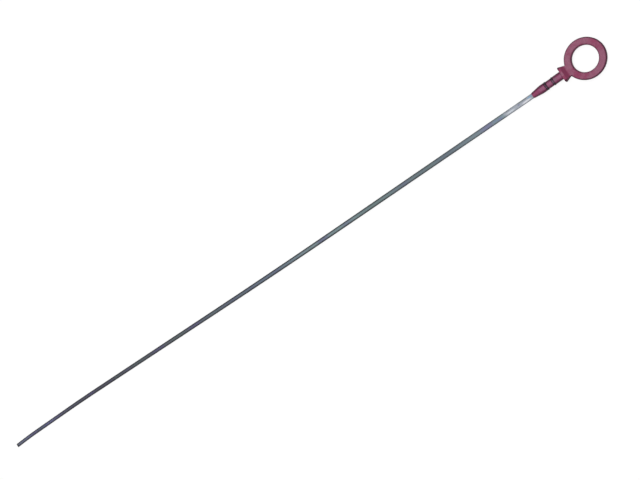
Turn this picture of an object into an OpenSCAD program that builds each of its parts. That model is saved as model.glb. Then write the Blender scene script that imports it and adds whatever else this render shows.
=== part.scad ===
// Engine oil dipstick: a moulded handle with a finger ring, a stop collar and a sealing neck, two rubber
// rings in grooves, and a long flat steel blade with stamped level marks near its tip.
// X runs along the handle, from the tip towards the ring. Z is up, square to the ring's flat faces.
// The origin is the centre of the collar's seat face, which lands on the mouth of the guide tube.

/* [Finger ring] */
// Bore of the ring, wide enough for one finger
ring_bore_d = 22.3; // [16:0.1:30]
// Width of the ring's band, from the bore to the outer edge
ring_band_w = 6.45; // [5:0.05:9]
// Thickness of the ring between its flat faces
ring_t = 5.2; // [4.4:0.1:6.4]
// Radius of the ring's long edges
ring_edge_r = 1.5; // [0.5:0.1:2]

/* [Collar] */
// Width of the collar at its seat face, which stops on the guide tube
rim_d = 14.6; // [12:0.1:18]
// Thickness of the rim before the collar starts to narrow
rim_t = 0.4; // [0.3:0.1:2]
// Length of the whole collar, from its seat face to the ring
collar_l = 5.3; // [4:0.1:9]
// Width of the collar where it runs into the ring
collar_end_w = 11; // [8:0.1:11.5]
// Height of the collar over the two flats beside its seat face
flat_h = 8; // [7.9:0.1:14]
// Length of the flats, before they slope down to the ring's faces
flat_l = 2.1; // [1:0.1:3.5]

/* [Sealing neck] */
// Diameter of the neck below the collar
neck_d = 7.3; // [6.6:0.1:7.4]
// Diameter of the land between the two seal grooves
land_d = 7; // [6.6:0.1:7.4]
// Diameter of the shoulder that guides the neck in the tube
shoulder_d = 7.6; // [7.4:0.1:8.6]
// Length of the shoulder
shoulder_l = 4.3; // [1.5:0.1:6]
// Length of the tapered tail below the shoulder
tail_l = 8.7; // [6:0.1:16]
// Plastic left around the blade's edges at the end of the tail
tail_wall = 0.3; // [0.2:0.05:0.8]
// Largest radius of the fillet where the neck meets the seat face
neck_fillet_r = 0.4; // [0.2:0.1:0.7]
// Size of the small edge breaks on the moulding
edge_break = 0.15; // [0.05:0.05:0.2]

/* [Seals] */
// From the seat face to the middle of the upper seal
upper_seal_s = 8.7; // [5:0.1:12]
// Distance between the middles of the two seals
seal_pitch = 6.8; // [4:0.1:10]
// Thickness of a seal's round section
seal_t = 1.5; // [1.2:0.1:1.7]
// How far a seal stands out past the shoulder
seal_proud = 0.15; // [0.05:0.05:0.3]
// How far a stretched seal flattens on the floor of its groove
seal_squash = 0.05; // [0.02:0.01:0.1]
// Free space beside a seal, on each side in its groove
seal_side_gap = 0.25; // [0.1:0.05:0.5]

/* [Blade] */
// Length of the blade outside the handle, along its middle
blade_l = 779.5; // [300:0.1:1000]
// Width of the flat strip
blade_w = 4.7; // [4:0.1:5.4]
// Thickness of the flat strip
blade_t = 1.2; // [0.8:0.05:1.6]
// Radius of the strip's rolled edges
blade_edge_r = 0.55; // [0.2:0.05:0.8]
// Size of the edge break round the cut tip
tip_break = 0.3; // [0.1:0.05:0.35]

/* [Blade root inside the handle] */
// From the lower seal's groove to where the strip reaches its full width
root_wide_gap = 2.2; // [1.5:0.1:3.5]
// From the seat face to the tongue's end
tongue_end_s = 1.8; // [1:0.1:3]
// Plastic left between the tongue's edges and the floors of the seal grooves
root_cover = 1; // [0.8:0.05:1.2]
// Diameter of the anchor hole near the tongue's end
anchor_hole_d = 1.3; // [0.8:0.1:1.5]
// From the tongue's end to the anchor hole
anchor_hole_s = 3; // [1.5:0.1:5]
// Radius of the anchor notches in the tongue's edges
anchor_notch_r = 0.5; // [0.3:0.05:0.6]

/* [Bends of the blade] */
// Turn where the blade leaves the handle, in degrees
root_bend = 0.85; // [-3:0.05:3]
// Length of that bend
root_bend_l = 15; // [5:1:60]
// Turn of the long bend in the upper half, in degrees
upper_bend = 0.8; // [-3:0.05:3]
// From the handle to the start of the long bend
upper_bend_s = 216; // [50:1:250]
// Length of the long bend
upper_bend_l = 190; // [20:1:250]
// Turn of the bend back in the lower half, in degrees
lower_bend = -1.1; // [-3:0.05:3]
// From the tip to the start of the bend back
lower_bend_s = 168; // [60:1:250]
// Length of the bend back
lower_bend_l = 60; // [20:1:150]
// Turn of the short hook near the tip, in degrees
tip_bend = -1.95; // [-4:0.05:4]
// From the tip to the start of the hook
tip_bend_s = 43; // [10:1:60]
// Length of the hook
tip_bend_l = 30; // [5:1:40]

/* [Level marks] */
// From the tip to the lower level line
low_mark_s = 47; // [20:1:120]
// From the lower level line to the upper one
mark_span = 25; // [15:1:60]
// Width of a stamped level line
mark_w = 0.8; // [0.4:0.1:1.2]
// Depth of the stamped level lines
mark_depth = 0.2; // [0.1:0.05:0.3]
// Spacing of the cross hatching between the lines, along the blade
hatch_pitch = 2.4; // [1.6:0.1:5]
// Width of a stroke of the hatching
hatch_w = 0.35; // [0.2:0.05:0.6]
// Depth of the hatching
hatch_depth = 0.12; // [0.05:0.01:0.2]
// Angle of the hatching's strokes to the blade
hatch_angle = 45; // [30:1:60]

/* [Hidden] */
$fn = 96;
plastic_colour = [0.55, 0.25, 0.36];
rubber_colour = [0.13, 0.11, 0.13];
steel_colour = [0.48, 0.50, 0.54];

// Fineness of what is swept or made of straight pieces
blade_steps = 64;
corner_steps = 4;
fillet_steps = 6;
// How far a cutting tool runs past the surface that it opens
past = 1;
// Largest share of the strip's thickness that an edge radius takes
edge_share = 0.48;

// Ring and collar
ring_bore_r = ring_bore_d / 2;
ring_r = ring_bore_r + ring_band_w;
ring_x = collar_l + ring_r;
rim_r = rim_d / 2;
flat_z = flat_h / 2;
collar_end_r = collar_end_w / 2;
// Where the collar's sides reach the full thickness of the ring's band
collar_join_x = ring_x - sqrt(pow(ring_r - ring_edge_r, 2) - pow(collar_end_r, 2));

// Neck, by distance from the seat face towards the tip
neck_r = neck_d / 2;
fillet_r = min(neck_fillet_r, flat_z - edge_break - neck_r);
land_r = land_d / 2;
shoulder_r = shoulder_d / 2;
seal_r = shoulder_r + seal_proud - seal_t / 2;
groove_r = seal_r - seal_t / 2 + seal_squash;
groove_half_w = seal_t / 2 + seal_side_gap;
lower_seal_s = upper_seal_s + seal_pitch;
shoulder_s = lower_seal_s + groove_half_w;
tail_s = shoulder_s + shoulder_l;
tail_end_s = tail_s + tail_l;
tail_end_r = blade_w / 2 + tail_wall;

// Blade
strip_edge_r = min(blade_edge_r, edge_share * blade_t);
root_wide_s = shoulder_s + root_wide_gap;
tongue_w = 2 * sqrt(pow(groove_r - root_cover, 2) - pow(blade_t / 2, 2));
blade_step = blade_l / blade_steps;

// Share of a bend that is behind a point at distance s, where the bend starts at a and is l long
function share(s, a, l) = min(max((s - a) / l, 0), 1);

// Direction of the blade at distance s from the handle, in degrees to the left of the way to the tip
function heading(s) =
    root_bend * share(s, 0, root_bend_l)
    + upper_bend * share(s, upper_bend_s, upper_bend_l)
    + lower_bend * share(s, blade_l - lower_bend_s, lower_bend_l)
    + tip_bend * share(s, blade_l - tip_bend_s, tip_bend_l);

// Middle line of the blade, one point for each step, from the end of the tail to the tip
blade_line = [
    for (i = 0, p = [-tail_end_s, 0]; i <= blade_steps;
         p = p + blade_step * [-cos(heading((i + 0.5) * blade_step)), sin(heading((i + 0.5) * blade_step))],
         i = i + 1) p
];

// Point of the middle line at distance s from the handle
function on_blade(s) =
    let (i = min(floor(s / blade_step), blade_steps - 1), part = s / blade_step - i)
    blade_line[i] * (1 - part) + blade_line[i + 1] * part;

// Points of a quarter circle about c, from angle a, counterclockwise or by side -1 clockwise
function quarter(c, r, a, steps, side = 1) =
    [for (i = [0 : steps]) c + r * [cos(a + side * 90 * i / steps), sin(a + side * 90 * i / steps)]];

// Section of a strip of width w, with its edges rounded, drawn in by inset all round
function strip_section(w, inset = 0) =
    let (r = strip_edge_r - inset, y = w / 2 - inset - r, z = blade_t / 2 - inset - r)
    concat(quarter([y, z], r, 0, corner_steps), quarter([-y, z], r, 90, corner_steps),
           quarter([-y, -z], r, 180, corner_steps), quarter([y, -z], r, 270, corner_steps));

// Children turned so that their Z runs towards the tip, or towards the ring
module towards_tip() { rotate([0, -90, 0]) children(); }
module towards_ring() { rotate([0, 90, 0]) children(); }

// The ring's band, turned about the finger hole
module finger_ring() {
    flat_r = ring_bore_r + ring_edge_r;
    flat_w = ring_band_w - 2 * ring_edge_r;
    translate([ring_x, 0, 0]) rotate_extrude() {
        translate([flat_r, -ring_t / 2]) square([flat_w, ring_t]);
        translate([ring_bore_r, ring_edge_r - ring_t / 2]) square([ring_band_w, ring_t - 2 * ring_edge_r]);
        for (x = [flat_r, flat_r + flat_w], side = [-1, 1])
            translate([x, side * (ring_t / 2 - ring_edge_r)]) circle(r = ring_edge_r);
    }
}

// Outline of the collar's upper half from the side, as distance from the seat face and height
collar_side = [
    [0, flat_z - edge_break], [edge_break, flat_z], [flat_l, flat_z],
    [collar_l, ring_t / 2], [collar_join_x, ring_t / 2]
];

// The collar flares as a cone from the ring to its rim, and flats and slopes bring it down to the ring's faces
module collar() {
    intersection() {
        towards_ring() rotate_extrude() polygon([
            [0, 0], [rim_r - edge_break, 0], [rim_r, edge_break], [rim_r, rim_t],
            [collar_end_r, collar_l], [collar_end_r, collar_join_x], [0, collar_join_x]
        ]);
        rotate([90, 0, 0]) linear_extrude(height = rim_d + 2 * past, center = true)
            polygon(concat(collar_side, [for (i = [len(collar_side) - 1 : -1 : 0])
                [collar_side[i][0], -collar_side[i][1]]]));
    }
}

// Outline of one seal groove, between a land of radius before and one of radius after
function groove(s, before, after) = [
    [before, s - groove_half_w - edge_break], [before - edge_break, s - groove_half_w],
    [groove_r, s - groove_half_w], [groove_r, s + groove_half_w],
    [after - edge_break, s + groove_half_w], [after, s + groove_half_w + edge_break]
];

// Neck, lands, shoulder and tail, as one turned form that starts inside the collar
module neck_and_tail() {
    towards_tip() rotate_extrude() polygon(concat(
        [[0, -flat_l], [neck_r, -flat_l], [neck_r, 0]],
        quarter([neck_r + fillet_r, fillet_r], fillet_r, 270, fillet_steps, -1),
        groove(upper_seal_s, neck_r, land_r),
        groove(lower_seal_s, land_r, shoulder_r),
        [[shoulder_r, tail_s], [tail_end_r, tail_end_s - tail_wall],
         [tail_end_r - tail_wall / 2, tail_end_s], [0, tail_end_s]]
    ));
}

// Steel inside the handle: full width in the tail, then a tongue with an anchor hole and notches
module blade_root() {
    notch_s = (upper_seal_s + lower_seal_s) / 2;
    difference() {
        union() {
            translate([-tail_end_s, 0, 0]) strip(blade_w, tail_end_s - root_wide_s);
            translate([-root_wide_s, 0, 0]) strip(tongue_w, root_wide_s - tongue_end_s);
        }
        translate([-tongue_end_s - anchor_hole_s, 0, 0])
            cylinder(d = anchor_hole_d, h = blade_t + 2 * past, center = true);
        for (side = [-1, 1]) translate([-notch_s, side * tongue_w / 2, 0])
            cylinder(r = anchor_notch_r, h = blade_t + 2 * past, center = true);
    }
}

// Straight length l of strip along X, of width w
module strip(w, l) {
    rotate([90, 0, 90]) linear_extrude(height = l) polygon(strip_section(w));
}

// The strip outside the handle, swept along its middle line and drawn in round the cut tip
module blade_sweep() {
    rings = concat(
        [for (i = [0 : blade_steps - 1]) [i * blade_step, 0]],
        [[blade_l - tip_break, 0], [blade_l, tip_break]]
    );
    count = len(strip_section(blade_w));
    points = [
        for (ring = rings)
            let (p = on_blade(ring[0]), a = heading(ring[0]))
            for (q = strip_section(blade_w, ring[1])) [p[0] + q[0] * sin(a), p[1] + q[0] * cos(a), q[1]]
    ];
    sides = [
        for (i = [0 : len(rings) - 2], j = [0 : count - 1])
            let (next = (j + 1) % count)
            [i * count + j, i * count + next, (i + 1) * count + next, (i + 1) * count + j]
    ];
    root_cap = [for (j = [count - 1 : -1 : 0]) j];
    tip_cap = [for (j = [0 : count - 1]) (len(rings) - 1) * count + j];
    polyhedron(points = points, faces = concat([root_cap], sides, [tip_cap]), convexity = 4);
}

// Cutter for one stamped stroke across the upper face, at distance s from the tip, turned from square by turn
module stroke(s, w, depth, turn) {
    p = on_blade(blade_l - s);
    reach = 3 * blade_w;
    translate([p[0], p[1], blade_t / 2]) rotate([0, 0, -heading(blade_l - s) + turn])
        cube([w, reach, 2 * depth], center = true);
}

// Two level lines, with cross hatching between them that stops short of both
module level_marks() {
    margin = blade_w / 2 / tan(hatch_angle) + mark_w;
    strokes = floor((mark_span - 2 * margin) / hatch_pitch);
    first = low_mark_s + (mark_span - strokes * hatch_pitch) / 2;
    for (s = [low_mark_s, low_mark_s + mark_span]) stroke(s, mark_w, mark_depth, 0);
    for (i = [0 : strokes], side = [-1, 1])
        stroke(first + i * hatch_pitch, hatch_w, hatch_depth, side * (90 - hatch_angle));
}

module o_ring(s) {
    color(rubber_colour) translate([-s, 0, 0]) towards_tip() rotate_extrude() intersection() {
        translate([seal_r, 0]) circle(d = seal_t);
        translate([groove_r, -seal_t]) square(2 * seal_t);
    }
}

module handle() {
    color(plastic_colour) difference() {
        union() {
            finger_ring();
            collar();
            neck_and_tail();
        }
        blade_root();
    }
}

module blade() {
    color(steel_colour) difference() {
        union() {
            blade_root();
            blade_sweep();
        }
        level_marks();
    }
}

handle();
o_ring(upper_seal_s);  // upper_o_ring
o_ring(lower_seal_s);  // lower_o_ring
blade();
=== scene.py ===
import math

import bmesh
import bpy
from mathutils import Matrix, Vector


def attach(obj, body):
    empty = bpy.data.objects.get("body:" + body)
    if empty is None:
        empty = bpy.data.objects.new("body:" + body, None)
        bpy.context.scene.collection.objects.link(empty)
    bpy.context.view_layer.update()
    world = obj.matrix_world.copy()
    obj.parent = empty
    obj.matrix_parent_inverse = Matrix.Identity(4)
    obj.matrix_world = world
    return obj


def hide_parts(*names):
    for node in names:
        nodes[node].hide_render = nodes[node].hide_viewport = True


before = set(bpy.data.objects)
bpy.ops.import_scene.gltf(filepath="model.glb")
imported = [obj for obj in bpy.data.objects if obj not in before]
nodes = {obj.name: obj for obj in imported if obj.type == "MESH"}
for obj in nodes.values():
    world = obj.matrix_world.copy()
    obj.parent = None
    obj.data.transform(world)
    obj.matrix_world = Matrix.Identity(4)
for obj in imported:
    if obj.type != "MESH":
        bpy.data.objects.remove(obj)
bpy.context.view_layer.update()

mm = 0.001
scene = bpy.context.scene
print("stick loaded:", ", ".join(sorted(nodes)))


# An output socket. Sums written on it add Math nodes to its tree
class Wire:
    def __init__(self, board, socket):
        self.board = board
        self.socket = socket

    def __add__(self, other):
        return self.board.maths("ADD", self, other)

    def __radd__(self, other):
        return self.board.maths("ADD", other, self)

    def __sub__(self, other):
        return self.board.maths("SUBTRACT", self, other)

    def __rsub__(self, other):
        return self.board.maths("SUBTRACT", other, self)

    def __mul__(self, other):
        return self.board.maths("MULTIPLY", self, other)

    def __rmul__(self, other):
        return self.board.maths("MULTIPLY", other, self)

    def __truediv__(self, other):
        return self.board.maths("DIVIDE", self, other)

    def __abs__(self):
        return self.board.maths("ABSOLUTE", self)


# The nodes of one material or of the world
class Board:
    def __init__(self, tree):
        self.tree = tree

    # A node by its type, with its settings first and then its sockets' values or wires
    def add(self, kind, settings={}, sockets={}, output=0):
        node = self.tree.nodes.new("ShaderNode" + kind)
        for name, value in settings.items():
            if name == "stops":
                stops = node.color_ramp.elements
                while len(stops) < len(value):
                    stops.new(1.0)
                for stop, (place, colour) in zip(stops, value):
                    stop.position = place
                    stop.color = (*colour, 1.0)
            else:
                setattr(node, name, value)
        for name, value in sockets.items():
            if isinstance(value, Wire):
                self.tree.links.new(value.socket, node.inputs[name])
            else:
                node.inputs[name].default_value = value
        return Wire(self, node.outputs[output])

    # The X, Y and Z of a place
    def axes(self, place):
        split = self.add("SeparateXYZ", {}, {"Vector": place}).socket.node
        return [Wire(self, output) for output in split.outputs]

    def maths(self, operation, *values):
        return self.add("Math", {"operation": operation}, dict(enumerate(values)))

    # The first weight as it is, plus each further one times its wire
    def weigh(self, weights, *wires):
        total = weights[0]
        for weight, wire in zip(weights[1:], wires):
            total = total + weight * wire
        return total

    def clamp(self, value):
        return self.add("Clamp", {}, {"Value": value})

    # 0 up to low, 1 from high on, smooth between
    def step(self, value, low, high):
        return self.add("MapRange", {"interpolation_type": "SMOOTHSTEP"},
                        {"Value": value, "From Min": low, "From Max": high})

    # The same on a distance, with the span from low to high in millimetres
    def rise(self, distance, span):
        low, high = span
        return self.step(distance, low * mm, high * mm)

    # The other way round and on both sides: 1 up to low from nought, 0 from high on
    def near(self, distance, span):
        return 1.0 - self.rise(abs(distance), span)

    # 0 in the middle of an oval, 1 on its edge and more outside, with its sizes in millimetres
    def oval(self, x, y, middleX, middleY, halfX, halfY):
        u = (x - middleX * mm) / (halfX * mm)
        v = (y - middleY * mm) / (halfY * mm)
        return u * u + v * v

    def noise(self, vector, scale, detail=2.0, rough=0.5):
        return self.add("TexNoise", {},
                        {"Vector": vector, "Scale": scale, "Detail": detail, "Roughness": rough})

    # The Mix node's colour sockets are its inputs 6 and 7 and its output 2
    def mix(self, share, first, second, blend="MIX"):
        first, second = [(*c, 1.0) if isinstance(c, tuple) else c for c in (first, second)]
        return self.add("Mix", {"data_type": "RGBA", "blend_type": blend},
                        {0: share, 6: first, 7: second}, 2)

    # Coats over a colour, each a pair of the share that it covers and its own colour
    def coat(self, colour, *coats):
        for share, paint in coats:
            colour = self.mix(share, colour, paint)
        return colour

    # A colour made darker or lighter by a plain number
    def shaded(self, colour, shade):
        grey = self.add("CombineXYZ", {}, {0: shade, 1: shade, 2: shade})
        return self.mix(1.0, colour, grey, "MULTIPLY")

    def join(self, wire, node, name):
        self.tree.links.new(wire.socket, node.inputs[name])

    # Bumps on a shader, with their depth in millimetres
    def bump(self, shader, height, strength, depth):
        bumps = self.add("Bump", {}, {"Strength": strength, "Distance": depth * mm, "Height": height})
        self.join(bumps, shader, "Normal")


# A new material, its board and its shader, with the shader's plain values set
def newFinish(name, **plain):
    material = bpy.data.materials.new(name)
    material.use_nodes = True
    shader = material.node_tree.nodes["Principled BSDF"]
    for socket, value in plain.items():
        shader.inputs[socket.replace("_", " ")].default_value = value
    return material, Board(material.node_tree), shader


# Sizes of the handle's moulding, in millimetres from the seat face
moulding = {
    # finger ring
    "ringX": 22.9,
    "boreR": 11.15,
    "ringR": 17.6,
    "ringT": 5.2,
    "ringEdge": 1.5,
    # collar, with its rim and flats, and the root that runs into the ring's band
    "rimR": 7.3,
    "rimT": 0.4,
    "flatZ": 4.0,
    "flatL": 2.1,
    "edgeBreak": 0.15,
    "collarL": 5.3,
    "collarR": 5.5,
    "collarReach": 8.7,
    "rootSink": 0.5,
    # sealing neck, with the start and end of each groove, and the tail
    "neckR": 3.65,
    "landR": 3.5,
    "shoulderR": 3.8,
    "grooveR": 2.5,
    "grooves": ((7.7, 9.7), (14.5, 16.5)),
    "neckSink": 1.5,
    "neckFillet": 0.2,
    "filletMiddle": (0.07, 0.08),
    "tail": 20.8,
    "tailEnd": 29.5,
    "tailR": 2.65,
    "tailBevel": (0.3, 0.15),
    # steps of the round forms, the gap at which their points merge, and the skin's fineness and softness
    "turnSteps": 96,
    "ringSteps": 160,
    "edgeSteps": 8,
    "weld": 0.0001,
    "grain": 0.195,
    "softness": 0.5,
    "softPasses": 2,
}


# An outline turned all the way round, with its doubled points merged and its faces outwards
def fullTurn(form, outline, centre, axis, steps):
    bmesh.ops.spin(form, geom=outline, cent=centre, axis=axis, angle=math.tau, steps=steps, use_merge=True)
    bmesh.ops.remove_doubles(form, verts=form.verts, dist=moulding["weld"] * mm)
    bmesh.ops.recalc_face_normals(form, faces=form.faces)
    return form


# Outline points, pairs of distance along X and radius, turned about the handle's axis
def turned(outline):
    form = bmesh.new()
    points = [form.verts.new((along * mm, radius * mm, 0.0)) for along, radius in outline]
    edges = [form.edges.new(pair) for pair in zip(points, points[1:])]
    return fullTurn(form, points + edges, (0, 0, 0), (1, 0, 0), moulding["turnSteps"])


# Takes away what lies on the side of the plane that the normal points to, and closes the cut
def cutFlat(form, point, normal):
    everything = form.verts[:] + form.edges[:] + form.faces[:]
    bmesh.ops.bisect_plane(form, geom=everything, plane_co=Vector(point) * mm, plane_no=normal,
                           clear_outer=True)
    bmesh.ops.holes_fill(form, edges=[e for e in form.edges if e.is_boundary])


def makeRing():
    m = moulding
    form = bmesh.new()
    inner = (m["ringX"] + m["boreR"]) * mm
    outer = (m["ringX"] + m["ringR"]) * mm
    half = m["ringT"] / 2 * mm
    section = ((inner, 0, -half), (outer, 0, -half), (outer, 0, half), (inner, 0, half))
    corners = [form.verts.new(corner) for corner in section]
    form.faces.new(corners)
    bmesh.ops.bevel(form, geom=corners, offset=m["ringEdge"] * mm, segments=m["edgeSteps"], profile=0.5,
                    affect="VERTICES", material=-1)
    bmesh.ops.delete(form, geom=form.faces[:], context="FACES_ONLY")
    outline = form.verts[:] + form.edges[:]
    return fullTurn(form, outline, (m["ringX"] * mm, 0, 0), (0, 0, 1), m["ringSteps"])


# The cone from the rim to the ring, with its flats and slopes, and the root that runs into the band
def makeCollar():
    m = moulding
    b = m["edgeBreak"]
    cone = turned([(0, 0), (0, m["rimR"] - b), (b, m["rimR"]), (m["rimT"], m["rimR"]),
                   (m["collarL"], m["collarR"]), (m["collarL"], 0)])
    rootStart = m["collarL"] - m["rootSink"]
    root = turned([(rootStart, 0), (rootStart, m["collarR"]),
                   (m["collarReach"], m["collarR"]), (m["collarReach"], 0)])
    run = m["collarL"] - m["flatL"]
    fall = m["flatZ"] - m["ringT"] / 2
    for side in (1, -1):
        cutFlat(cone, (0, 0, side * m["flatZ"]), (0, 0, side))
        cutFlat(cone, (m["flatL"], 0, side * m["flatZ"]), (fall, 0, side * run))
        cutFlat(cone, (0, 0, side * (m["flatZ"] - b)), (-1, 0, side))
        cutFlat(root, (0, 0, side * m["ringT"] / 2), (0, 0, side))
    return cone, root


def makeNeck():
    m = moulding
    b = m["edgeBreak"]
    down, out = m["filletMiddle"]
    bevelLength, bevelDepth = m["tailBevel"]
    outline = [(m["neckSink"], 0), (m["neckSink"], m["neckR"]), (0, m["neckR"] + m["neckFillet"]),
               (-down, m["neckR"] + out), (-m["neckFillet"], m["neckR"])]
    radii = ((m["neckR"], m["landR"]), (m["landR"], m["shoulderR"]))
    for (start, end), (before, after) in zip(m["grooves"], radii):
        outline += [(-start + b, before), (-start, before - b), (-start, m["grooveR"]),
                    (-end, m["grooveR"]), (-end, after - b), (-end - b, after)]
    outline += [(-m["tail"], m["shoulderR"]), (-m["tailEnd"] + bevelLength, m["tailR"]),
                (-m["tailEnd"], m["tailR"] - bevelDepth), (-m["tailEnd"], 0)]
    return turned(outline)


# All the forms become one skin, as one shot of plastic, with small moulded radii at its corners
def makeHandle(finish):
    whole = bpy.data.meshes.new("handleForms")
    joined = bmesh.new()
    for form in (makeRing(), *makeCollar(), makeNeck()):
        piece = bpy.data.meshes.new("form")
        form.to_mesh(piece)
        form.free()
        joined.from_mesh(piece)
        bpy.data.meshes.remove(piece)
    joined.to_mesh(whole)
    joined.free()
    rough = bpy.data.objects.new("handleRough", whole)
    scene.collection.objects.link(rough)
    skin = rough.modifiers.new("oneSkin", "REMESH")
    skin.mode = "VOXEL"
    skin.voxel_size = moulding["grain"] * mm
    skin.use_smooth_shade = True
    ease = rough.modifiers.new("softCorners", "SMOOTH")
    ease.factor = moulding["softness"]
    ease.iterations = moulding["softPasses"]
    bpy.context.view_layer.update()
    graph = bpy.context.evaluated_depsgraph_get()
    mesh = bpy.data.meshes.new_from_object(rough.evaluated_get(graph))
    mesh.name = "handleMoulding"
    handle = bpy.data.objects.new("handleMoulding", mesh)
    scene.collection.objects.link(handle)
    bpy.data.objects.remove(rough)
    bpy.data.meshes.remove(whole)
    mesh.materials.append(finish)
    return handle


# Moulded raspberry plastic: patches of dust and painted sheen, painted shade on the sides and neck, a
# faint parting line
plastic = {
    "deep": (0.294, 0.060, 0.126),
    # greyer colour of the dust and painted sheen
    "dustySheen": (0.325, 0.122, 0.188),
    # painted light: a lighter colour on the tail's taper
    "taperLit": (0.335, 0.071, 0.150),
    "neckTint": (0.335, 0.095, 0.215),
    # pale colour of the painted highlight above the upper seal
    "paleHighlight": (0.250, 0.135, 0.190),
    # dark colour of the painted shade on the ring's sides, the neck's flanks, the rim's ends and the
    # hollow
    "darkShade": (0.074, 0.010, 0.034),
    # dark colour of the painted shade under the rim and beside the seals
    "recessShade": (0.050, 0.022, 0.034),
    # share of each coat where it is thickest, and what the bore lacks of the sides' painted shade
    "coats": {"taperLit": 0.9, "neckTint": 0.35, "paleHighlight": 0.75, "flank": 0.86, "hollow": 0.3,
              "sides": 0.9, "boreLessShade": 0.30, "recessShade": 0.8},
    # noise scales, of which the higher ones are finer
    "patchScale": 190.0,
    "mottleScale": 480.0,
    "peelScale": 700.0,
    "speckleScale": 1600.0,
    # dust and painted sheen at the top, a little more on the neck, what some places lack of it, and where
    # it makes a patch
    "dustAndSheen": 0.79,
    "neckDustAndSheen": 0.01,
    "lessDustAndSheen": {"hollow": 0.3, "flank": 0.4, "taper": 0.3, "flats": 0.4, "sheenMarks": 0.20},
    "patchEdge": (1.02, 1.30),
    # ovals with X and Y of the middle and half sizes: where the ring's faces carry less of the dust and
    # painted sheen
    "sheenMarks": [(33.5, 7.0, 8.0, 8.0), (9.0, -4.5, 7.5, 7.5), (12.5, -11.5, 8.0, 8.0)],
    "sheenMarkEdge": (0.1, 1.0),
    # and a painted pale highlight with a ragged edge, just above the upper seal
    "highlightPatch": (-6.4, 0.2, 2.4, 1.9),
    "highlightRim": (0.2, 1.0),
    "highlightRagged": 0.8,
    # weights: the first one is added as it is, and the others go with what their note names
    "shade": (0.74, 0.24, 0.28),  # speckle, mottle
    "recessShadeLevel": (0.32, 0.25, 0.35),  # dust and sheen, flank
    "roughness": (0.46, 0.10, -0.10),  # dust and sheen, oil
    "bumps": (0.0, 0.6, 0.35, 0.1),  # parting line, peel, speckle
    # Y of the line along the neck with the most dust and painted sheen, and the neck's half width as the
    # masks see it
    "sheenLineY": -0.5,
    "neckSide": 3.75,
    # shares of that half width at which the flanks lose their dust and painted sheen, take painted shade,
    # and take more painted shade by the seals and under the rim
    "flankLessSheen": (0.25, 0.65),
    "flankShade": (0.24, 0.82),
    "flankDeeperShade": (0.3, 0.9),
    # where each mask rises, in millimetres: X from the seat face, Y and Z from the axis
    "seat": (-0.2, 0.0),
    "hollowStart": (1.9, 2.4),
    "hollowEnd": (4.6, 6.2),
    "flatEnd": (2.0, 2.6),
    "flatSide": (1.0, 3.4),
    "top": (0.0, 1.0),
    "ringSide": (2.2, 2.62),
    "rimEnd": (4.5, 5.9),
    "rimReach": (1.0, 2.6),
    "cornerStart": (-0.9, -0.1),
    "cornerEnd": (-0.1, 0.1),
    "oiledEnd": (-2.0, 1.0),
    "parting": (0.05, 0.10),
    # and out from the middle of the bore, and of each seal
    "boreShade": (11.6, 12.6),
    "besideSeal": (0.9, 1.4),
}


# 1 beside the middle of either seal, over a span in millimetres
def nearSeals(board, x, span):
    upper, lower = [board.near(x + (start + end) / 2 * mm, span) for start, end in moulding["grooves"]]
    return upper + lower


# Patches of dust and painted sheen, fewer in the ovals and on the flats, flanks, hollow and taper
def plasticDustAndSheen(board, place, where):
    p = plastic
    x, y, neck = where["x"], where["y"], where["neck"]
    flats = board.rise(abs(y), p["flatSide"]) * (1.0 - board.rise(x, p["flatEnd"])) * (1.0 - neck)
    dustAndSheen = p["dustAndSheen"] + neck * p["neckDustAndSheen"] - flats * p["lessDustAndSheen"]["flats"]
    dustAndSheen = dustAndSheen - board.step(where["flank"], *p["flankLessSheen"]) * p["lessDustAndSheen"]["flank"]
    for name in ("hollow", "taper"):
        dustAndSheen = dustAndSheen - where[name] * p["lessDustAndSheen"][name]
    for oval in p["sheenMarks"]:
        outside = board.step(board.oval(x, y, *oval), *p["sheenMarkEdge"])
        dustAndSheen = dustAndSheen - (1.0 - outside) * p["lessDustAndSheen"]["sheenMarks"]
    cloud = board.noise(place, p["patchScale"], detail=3.0, rough=0.55)
    return board.step(cloud + dustAndSheen, *p["patchEdge"])


# Painted shade on the sides, the neck's flanks, the rim's ends and the hollow behind the rim, with less of
# it in the bore
def plasticShade(board, colour, where):
    p = plastic
    x, y, neck = where["x"], where["y"], where["neck"]
    middle = x - moulding["ringX"] * mm
    bore = 1.0 - board.step(middle * middle + y * y, *[(radius * mm) ** 2 for radius in p["boreShade"]])
    sides = board.near(where["z"], p["ringSide"]) * (1.0 - neck)
    sides = sides * (p["coats"]["sides"] - p["coats"]["boreLessShade"] * bore)
    sides = board.maths("MAXIMUM", sides, where["hollow"] * p["coats"]["hollow"])
    flanks = board.step(where["flank"], *p["flankShade"]) * p["coats"]["flank"]
    rimEnds = board.rise(abs(y), p["rimEnd"]) * (1.0 - board.rise(x, p["rimReach"]))
    return board.coat(colour, (sides, p["darkShade"]), (flanks, p["darkShade"]), (rimEnds, p["darkShade"]))


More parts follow.
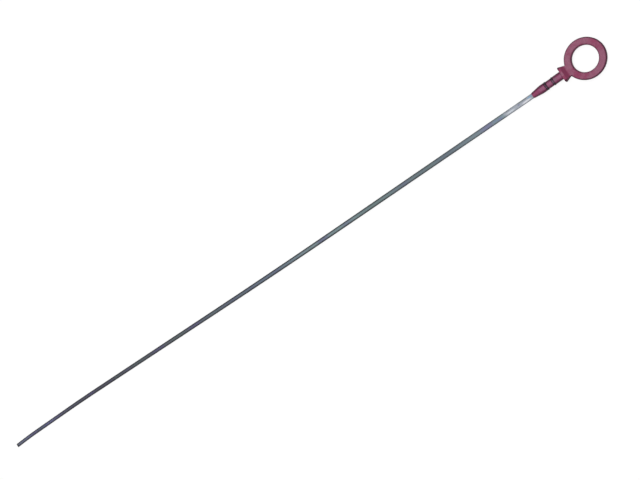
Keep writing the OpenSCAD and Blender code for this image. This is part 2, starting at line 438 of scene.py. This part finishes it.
def makePlastic():
    p = plastic
    material, board, shader = newFinish("raspberryPlastic", Specular_IOR_Level=0.15)
    place = board.add("TexCoord", output="Object")
    x, y, z = board.axes(place)
    neck = 1.0 - board.rise(x, p["seat"])
    taperLength = moulding["tailEnd"] - moulding["tail"]
    taper = board.clamp((-moulding["tail"] * mm - x) / (taperLength * mm))
    hollow = board.rise(x, p["hollowStart"]) * (1.0 - board.rise(x, p["hollowEnd"]))
    # how far to the side a point of the neck lies, as a share of the neck's half width beside it
    halfWidth = p["neckSide"] * mm - taper * ((p["neckSide"] - moulding["tailR"]) * mm)
    flank = abs(y - p["sheenLineY"] * mm) / halfWidth * neck
    where = {"x": x, "y": y, "z": z, "neck": neck, "taper": taper, "hollow": hollow, "flank": flank}
    dustSheenPatches = plasticDustAndSheen(board, place, where)
    speckle = board.noise(place, p["speckleScale"])
    mottle = board.noise(place, p["mottleScale"])
    oval = board.oval(x, y, *p["highlightPatch"]) + (speckle - 0.5) * p["highlightRagged"]
    highlightPatch = (1.0 - board.step(oval, *p["highlightRim"])) * board.rise(z, p["top"])
    # the neck's tint, painted light on the taper, and the painted pale highlight above the upper seal
    colour = board.coat(board.mix(dustSheenPatches, p["deep"], p["dustySheen"]),
                        (neck * p["coats"]["neckTint"], p["neckTint"]),
                        (taper * p["coats"]["taperLit"], p["taperLit"]),
                        (highlightPatch * p["coats"]["paleHighlight"], p["paleHighlight"]))
    colour = board.shaded(colour, board.weigh(p["shade"], speckle, mottle))
    colour = plasticShade(board, colour, where)
    # painted shade in the corner under the rim and beside the seals, more of it on the dust and on the
    # flanks
    corner = board.rise(x, p["cornerStart"]) * (1.0 - board.rise(x, p["cornerEnd"]))
    recessShading = corner + nearSeals(board, x, p["besideSeal"])
    recessShading = recessShading * board.weigh(p["recessShadeLevel"], dustSheenPatches, board.step(flank, *p["flankDeeperShade"]))
    colour = board.mix(board.maths("MINIMUM", recessShading, p["coats"]["recessShade"]), colour, p["recessShade"])
    board.join(colour, shader, "Base Color")
    oiled = 1.0 - board.rise(x, p["oiledEnd"])
    board.join(board.weigh(p["roughness"], dustSheenPatches, oiled), shader, "Roughness")
    peel = board.noise(place, p["peelScale"], detail=3.0)
    height = board.weigh(p["bumps"], board.near(z, p["parting"]), peel, speckle)
    board.bump(shader, height, strength=0.35, depth=0.05)
    return material


# Oiled black rubber, with dust and a painted highlight along its top, and a fine moulding line round its
# outside
rubber = {
    "body": (0.034, 0.020, 0.030),
    # pinkish colour of the dust and the painted highlight along the top
    "dustAndSheen": (0.215, 0.120, 0.185),
    "sheenCloudScale": 900.0,
    "sheenCloudEdge": (0.36, 0.60),
    "grainScale": 2500.0,
    # in millimetres: how far the dust and painted highlight lie to each side, and half the width of the
    # moulding line
    "sheenSide": (0.8, 2.4),
    "line": (0.05, 0.10),
    # weights, as for the plastic
    "roughness": (0.40, 0.2),  # dust and painted highlight
    "bumps": (0.0, 1.0, 0.3),  # moulding line, grain
}


def makeRubber():
    r = rubber
    material, board, shader = newFinish("sealRubber", Specular_IOR_Level=0.2)
    place = board.add("TexCoord", output="Object")
    x, y = board.axes(place)[:2]
    # dust and a painted pinkish highlight along the top
    top = board.near(y - plastic["sheenLineY"] * mm, r["sheenSide"])
    cloud = board.noise(place, r["sheenCloudScale"], detail=4.0, rough=0.6)
    dustAndSheen = board.step(cloud, *r["sheenCloudEdge"]) * top
    board.join(board.mix(dustAndSheen, r["body"], r["dustAndSheen"]), shader, "Base Color")
    board.join(board.weigh(r["roughness"], dustAndSheen), shader, "Roughness")
    grain = board.noise(place, r["grainScale"])
    height = board.weigh(r["bumps"], nearSeals(board, x, r["line"]), grain)
    board.bump(shader, height, strength=0.4, depth=0.03)
    return material


# Rolled spring steel: grain along the strip, a painted highlight along the middle, painted shade along the
# edges
steel = {
    "length": 779.5,  # millimetres from the handle to the tip
    # turn in degrees, distance from the handle and length of each slight bend
    "bends": [(0.85, 0, 15), (0.8, 216, 190), (-1.1, 611.5, 60), (-1.95, 736.5, 30)],
    # colour of the strip's middle, by share of the way from the handle to the tip
    "middle": [
        (0.00, (0.37, 0.48, 0.55)),
        (0.06, (0.33, 0.42, 0.46)),
        (0.12, (0.26, 0.32, 0.38)),
        (0.19, (0.31, 0.40, 0.42)),
        (0.28, (0.43, 0.58, 0.60)),
        (0.34, (0.48, 0.62, 0.66)),
        (0.41, (0.345, 0.42, 0.53)),
        (0.50, (0.34, 0.39, 0.49)),
        (0.60, (0.31, 0.34, 0.38)),
        (0.78, (0.235, 0.235, 0.30)),
        (0.88, (0.275, 0.275, 0.37)),
        (0.90, (0.37, 0.37, 0.62)),
        (0.925, (0.37, 0.38, 0.64)),
        (0.943, (0.29, 0.26, 0.46)),
        (0.97, (0.37, 0.39, 0.58)),
        (1.00, (0.37, 0.40, 0.51)),
    ],
    "violet": (0.30, 0.27, 0.52),
    "green": (0.30, 0.40, 0.38),
    # dark colour of the painted shade along the edges, also laid on the end of the tip
    "darkShade": (0.030, 0.031, 0.036),
    "tipDark": 0.95,  # share of the dark colour on the end of the tip
    # dark colour of the painted shade in the stamped lines
    "markShade": (0.03, 0.03, 0.035),
    "bright": (0.52, 0.56, 0.63),
    # noise scales along the strip and across it
    "grainScales": (14.0, 2600.0),
    "stainScales": (55.0, 260.0),
    "tintScale": 31.0,
    # where the tint's noise turns the steel violet and where green, and how much at most
    "violetEdge": (0.52, 0.70),
    "greenEdge": (0.48, 0.30),
    "violetShare": 0.6,
    "greenShare": 0.4,
    # the painted highlight line crosses the middle at this share of the way and drifts so far, in
    # millimetres
    "highlightCross": 0.45,
    "highlightDrift": 0.3,
    # slant and raggedness, in millimetres, of the bright length's end
    "brightSlant": 0.5,
    "brightRagged": 4.0,
    # edge of the spots, and how ragged grain and stain make it
    "spotEdge": (0.3, 1.2),
    "spotGrain": 1.4,
    "spotStain": 1.2,
    # weights, as for the plastic
    "shade": (0.56, 0.26, 0.30, 0.55),  # grain, stain, painted highlight
    "highlightAlong": (0.2, 0.8),  # share of the way to the tip
    "brightness": (0.55, 0.7),  # stain
    "oil": (0.78, 0.19, -0.33),  # distance from the handle, bright length
    "marks": (0.12, 0.45),  # depth
    "metal": (1.0, -0.85),  # painted edge shade and dark tip
    "roughness": (0.18, 0.12, 0.25),  # grain, painted edge shade and dark tip
    "bumps": (0.0, 1.0, 1.5),  # grain, stain
    # marks beside the tail: distance from it, place across, half length and width, strength and colour
    "spots": [
        (7.0, -0.9, 6.0, 0.85, 0.95, (0.93, 0.94, 1.00)),
        (23.5, -0.6, 5.5, 1.00, 0.75, (0.88, 0.93, 1.00)),
        (10.5, 1.5, 6.0, 0.90, 0.75, (0.33, 0.37, 0.39)),
        (2.8, 0.8, 2.8, 0.80, 0.85, (0.31, 0.50, 0.70)),
        (14.5, 0.2, 1.2, 0.60, 0.80, (0.27, 0.27, 0.47)),
        (26.5, 1.3, 4.0, 0.70, 0.60, (0.31, 0.34, 0.38)),
        (34.5, -0.6, 4.0, 1.10, 0.65, (0.25, 0.28, 0.50)),
        (39.5, 0.3, 2.0, 0.90, 0.55, (0.24, 0.33, 0.52)),
        # the last is painted shade on the strip where it leaves the tail
        (0.3, 0.0, 2.0, 3.00, 0.30, (0.22, 0.20, 0.27)),
    ],
    # where each mask rises, in millimetres along the strip from the handle
    "fade": (0.0, 260.0),
    "brightEnd": (28.0, 31.0),
    "marksStart": (690.0, 700.0),
    "marksEnd": (740.0, 745.0),
    "tipEnd": (775.3, 777.3),
    # on Z, for the marks: under the strip's face, above its middle, and down in the deep lines
    "underFace": (0.50, 0.57),
    "overMiddle": (0.30, 0.38),
    "deepLine": (0.42, 0.46),
    # and out from the middle line
    "highlightSide": (0.05, 0.9),
    "marksSide": (1.551, 1.786),
    # start and end of the painted edge shade at the handle, and how far both move in along the fade
    "edgeShadeStart": (1.2, 0.7),
    "edgeShadeEnd": (1.95, 0.3),
}


# Sideways place from the strip's bent middle line
def fromMiddleLine(board, along, side):
    for turn, start, length in steel["bends"]:
        part = board.clamp((along - start * mm) / (length * mm))
        past = board.maths("MAXIMUM", along - (start + length) * mm, 0.0)
        side = side - math.radians(turn) * (part * part * (length * mm / 2) + past)
    return side


# Noise drawn out along the strip
def streaks(board, along, side, z, scales, detail, rough):
    long, wide = scales
    place = board.add("CombineXYZ", {}, {0: along * long, 1: side * wide, 2: z * wide})
    return board.noise(place, 1.0, detail, rough)


# The middle, with its painted highlight line and the tints that change slowly from the handle to the tip
def steelMiddle(board, along, side, share, grain, stain):
    s = steel
    # a painted highlight along the middle line, stronger towards the tip
    drift = (share - s["highlightCross"]) * (s["highlightDrift"] * mm)
    sheenMarks = board.near(side - drift, s["highlightSide"]) * board.weigh(s["highlightAlong"], share)
    tint = board.add("TexNoise", {"noise_dimensions": "1D"},
                     {"W": along * s["tintScale"], "Scale": 1.0, "Detail": 1.0})
    colour = board.coat(board.add("ValToRGB", {"stops": s["middle"]}, {"Fac": share}),
                        (board.step(tint, *s["violetEdge"]) * s["violetShare"], s["violet"]),
                        (board.step(tint, *s["greenEdge"]) * s["greenShare"], s["green"]))
    return board.shaded(colour, board.weigh(s["shade"], grain, stain, sheenMarks))


# Share of painted shade down in the stamped lines, and less in the shallow hatching
def marksShade(board, along, side, z):
    s = steel
    sunk = (1.0 - board.rise(z, s["underFace"])) * board.rise(z, s["overMiddle"])
    deep = 1.0 - board.rise(z, s["deepLine"])
    marked = board.rise(along, s["marksStart"]) * (1.0 - board.rise(along, s["marksEnd"]))
    return sunk * marked * board.near(side, s["marksSide"]) * board.weigh(s["marks"], deep)


def makeSteel():
    s = steel
    material, board, shader = newFinish("rolledSteel", Specular_IOR_Level=0.2)
    x, y, z = board.axes(board.add("TexCoord", output="Object"))
    along = -moulding["tailEnd"] * mm - x
    side = fromMiddleLine(board, along, y)
    share = board.clamp(along / (s["length"] * mm))
    grain = streaks(board, along, side, z, s["grainScales"], 4.0, 0.65)
    stain = streaks(board, along, side, z, s["stainScales"], 2.0, 0.5)
    colour = steelMiddle(board, along, side, share, grain, stain)
    # bright length next to the handle, with a slanted, ragged end and its own streaks and spots
    cut = along - side * s["brightSlant"] + (grain - 0.5) * (s["brightRagged"] * mm)
    bright = 1.0 - board.rise(cut, s["brightEnd"])
    colour = board.mix(bright * board.weigh(s["brightness"], stain), colour, s["bright"])
    ragged = (grain - 0.5) * s["spotGrain"] + (stain - 0.5) * s["spotStain"]
    for far, across, halfLong, halfWide, strength, paint in s["spots"]:
        oval = board.oval(along, side, far, across, halfLong, halfWide)
        spot = 1.0 - board.step(oval + ragged, *s["spotEdge"])
        colour = board.mix(spot * strength, colour, paint)
    # painted shade along the edges, wider and darker away from the handle, and the same dark colour on the
    # end of the tip
    fade = board.rise(along, s["fade"])
    low, high = [start * mm - fade * (move * mm) for start, move in (s["edgeShadeStart"], s["edgeShadeEnd"])]
    oil = board.step(abs(side), low, high) * board.weigh(s["oil"], fade, bright)
    oil = board.maths("MAXIMUM", oil, board.rise(along, s["tipEnd"]) * s["tipDark"])
    colour = board.coat(colour, (oil, s["darkShade"]), (marksShade(board, along, side, z), s["markShade"]))
    board.join(colour, shader, "Base Color")
    board.join(board.weigh(s["metal"], oil), shader, "Metallic")
    board.join(board.weigh(s["roughness"], grain, oil), shader, "Roughness")
    board.bump(shader, board.weigh(s["bumps"], grain, stain), strength=0.25, depth=0.02)
    return material


finishes = {"plastic": makePlastic(), "rubber": makeRubber(), "steel": makeSteel()}
for node, finish in (("upper_o_ring", "rubber"), ("lower_o_ring", "rubber"), ("blade", "steel")):
    for slot in nodes[node].material_slots:
        slot.material = finishes[finish]
print("finishes made:", ", ".join(finishes))

handle = makeHandle(finishes["plastic"])
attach(handle, "root")
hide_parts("handle")
print("handle moulded:", len(handle.data.polygons), "faces")


# 1 on rays that the camera, a gloss or a clear body sends, 0 on those that only light
def seenRays(board):
    names = ("Is Camera Ray", "Is Glossy Ray", "Is Transmission Ray")
    camera, gloss, clear = [board.add("LightPath", output=name) for name in names]
    return board.maths("MAXIMUM", board.maths("MAXIMUM", camera, gloss), clear)


# The stick lies on its collar's rim and on its tip, so the floor leans a little to touch both
ground = {
    "half": 30.0,  # metres
    "rim": (0.15, -4.01),  # X and Z of the point under the rim, in millimetres
    "tip": (-808.9, -0.62),  # and of the one under the tip
    "grey": (0.20, 0.20, 0.20, 1.0),
    "white": (1.0, 1.0, 1.0, 1.0),
    "brightness": 0.86,
}


def makeFloor():
    g = ground
    rimX, rimZ = g["rim"]
    tipX, tipZ = g["tip"]
    lean = math.atan2(tipZ - rimZ, rimX - tipX)
    form = bmesh.new()
    bmesh.ops.create_grid(form, x_segments=1, y_segments=1, size=g["half"])
    bmesh.ops.rotate(form, verts=form.verts, cent=(0, 0, 0), matrix=Matrix.Rotation(lean, 3, "Y"))
    bmesh.ops.translate(form, verts=form.verts, vec=(0, 0, (rimZ + rimX * math.tan(lean)) * mm))
    mesh = bpy.data.meshes.new("floor")
    form.to_mesh(mesh)
    form.free()
    floor = bpy.data.objects.new("floor", mesh)
    scene.collection.objects.link(floor)
    material, board, shader = newFinish("paleFloor", Roughness=0.9, Base_Color=g["grey"],
                                        Specular_IOR_Level=0.0, Emission_Color=g["white"])
    board.join(seenRays(board) * g["brightness"], shader, "Emission Strength")
    mesh.materials.append(material)


makeFloor()


# Soft light from above and from the far side. A pale horizon is seen, and a dimmer sky lights
studio = {
    # colours of the two skies by height, from level at 0 to straight up at 1
    "dimSky": [
        (0.00, (0.10, 0.10, 0.10)),
        (0.25, (0.14, 0.14, 0.145)),
        (0.70, (0.26, 0.26, 0.27)),
        (1.00, (0.42, 0.42, 0.42)),
    ],
    "seenSky": [
        (0.00, (0.80, 0.80, 0.80)),
        (0.20, (0.72, 0.72, 0.73)),
        (0.42, (0.32, 0.32, 0.33)),
        (0.68, (0.28, 0.28, 0.29)),
        (0.80, (0.32, 0.32, 0.33)),
        (0.90, (0.44, 0.44, 0.45)),
        (0.945, (0.70, 0.70, 0.70)),
        (0.957, (0.91, 0.91, 0.91)),
        (0.967, (0.98, 0.98, 0.98)),
        (0.985, (0.83, 0.83, 0.83)),
        (1.00, (0.80, 0.80, 0.80)),
    ],
    # place, the point that it faces, size across and along Y, and power of each soft box
    "boxes": [
        ((0.05, 0.05, 2.5), (0.05, 0.05, 0.0), (1.1, 3.2), 46.0),
        ((-0.75, 1.9, 1.3), (0.0, 0.0, 0.0), (1.0, 1.0), 4.0),
    ],
}


def makeStudio():
    world = bpy.data.worlds.new("studio")
    scene.world = world
    world.use_nodes = True
    board = Board(world.node_tree)
    up = board.axes(board.add("TexCoord", output="Generated"))[2]
    dim = board.add("ValToRGB", {"stops": studio["dimSky"]}, {"Fac": up})
    seen = board.add("ValToRGB", {"stops": studio["seenSky"]}, {"Fac": up})
    board.join(board.mix(seenRays(board), dim, seen), world.node_tree.nodes["Background"], "Color")
    for place, target, (across, along), power in studio["boxes"]:
        lamp = bpy.data.lights.new("softBox", "AREA")
        lamp.shape = "RECTANGLE"
        lamp.size = across
        lamp.size_y = along
        lamp.energy = power
        box = bpy.data.objects.new("softBox", lamp)
        box.visible_glossy = False
        box.location = place
        box.rotation_euler = (Vector(place) - Vector(target)).to_track_quat("Z", "Y").to_euler()
        scene.collection.objects.link(box)


makeStudio()

# The photo's camera: its place in metres, the picture's right and up, and a lens in millimetres
view = {
    "place": (0.14323, -0.11768, 0.77347),
    "right": (0.71715, -0.51128, -0.47359),
    "up": (0.50938, 0.84832, -0.14449),
    "lens": 50.625,
    "sensor": 36.0,
    "clip": (0.01, 200.0),  # metres
}


def makeCamera():
    data = bpy.data.cameras.new("photoView")
    data.lens = view["lens"]
    data.sensor_width = view["sensor"]
    data.clip_start, data.clip_end = view["clip"]
    camera = bpy.data.objects.new("photoView", data)
    right = Vector(view["right"]).normalized()
    up = Vector(view["up"]).normalized()
    turn = Matrix((right, up, right.cross(up))).transposed()
    camera.matrix_world = Matrix.Translation(view["place"]) @ turn.to_4x4()
    scene.collection.objects.link(camera)
    scene.camera = camera


makeCamera()
scene.view_settings.view_transform = "Standard"
print("floor, light and camera set")
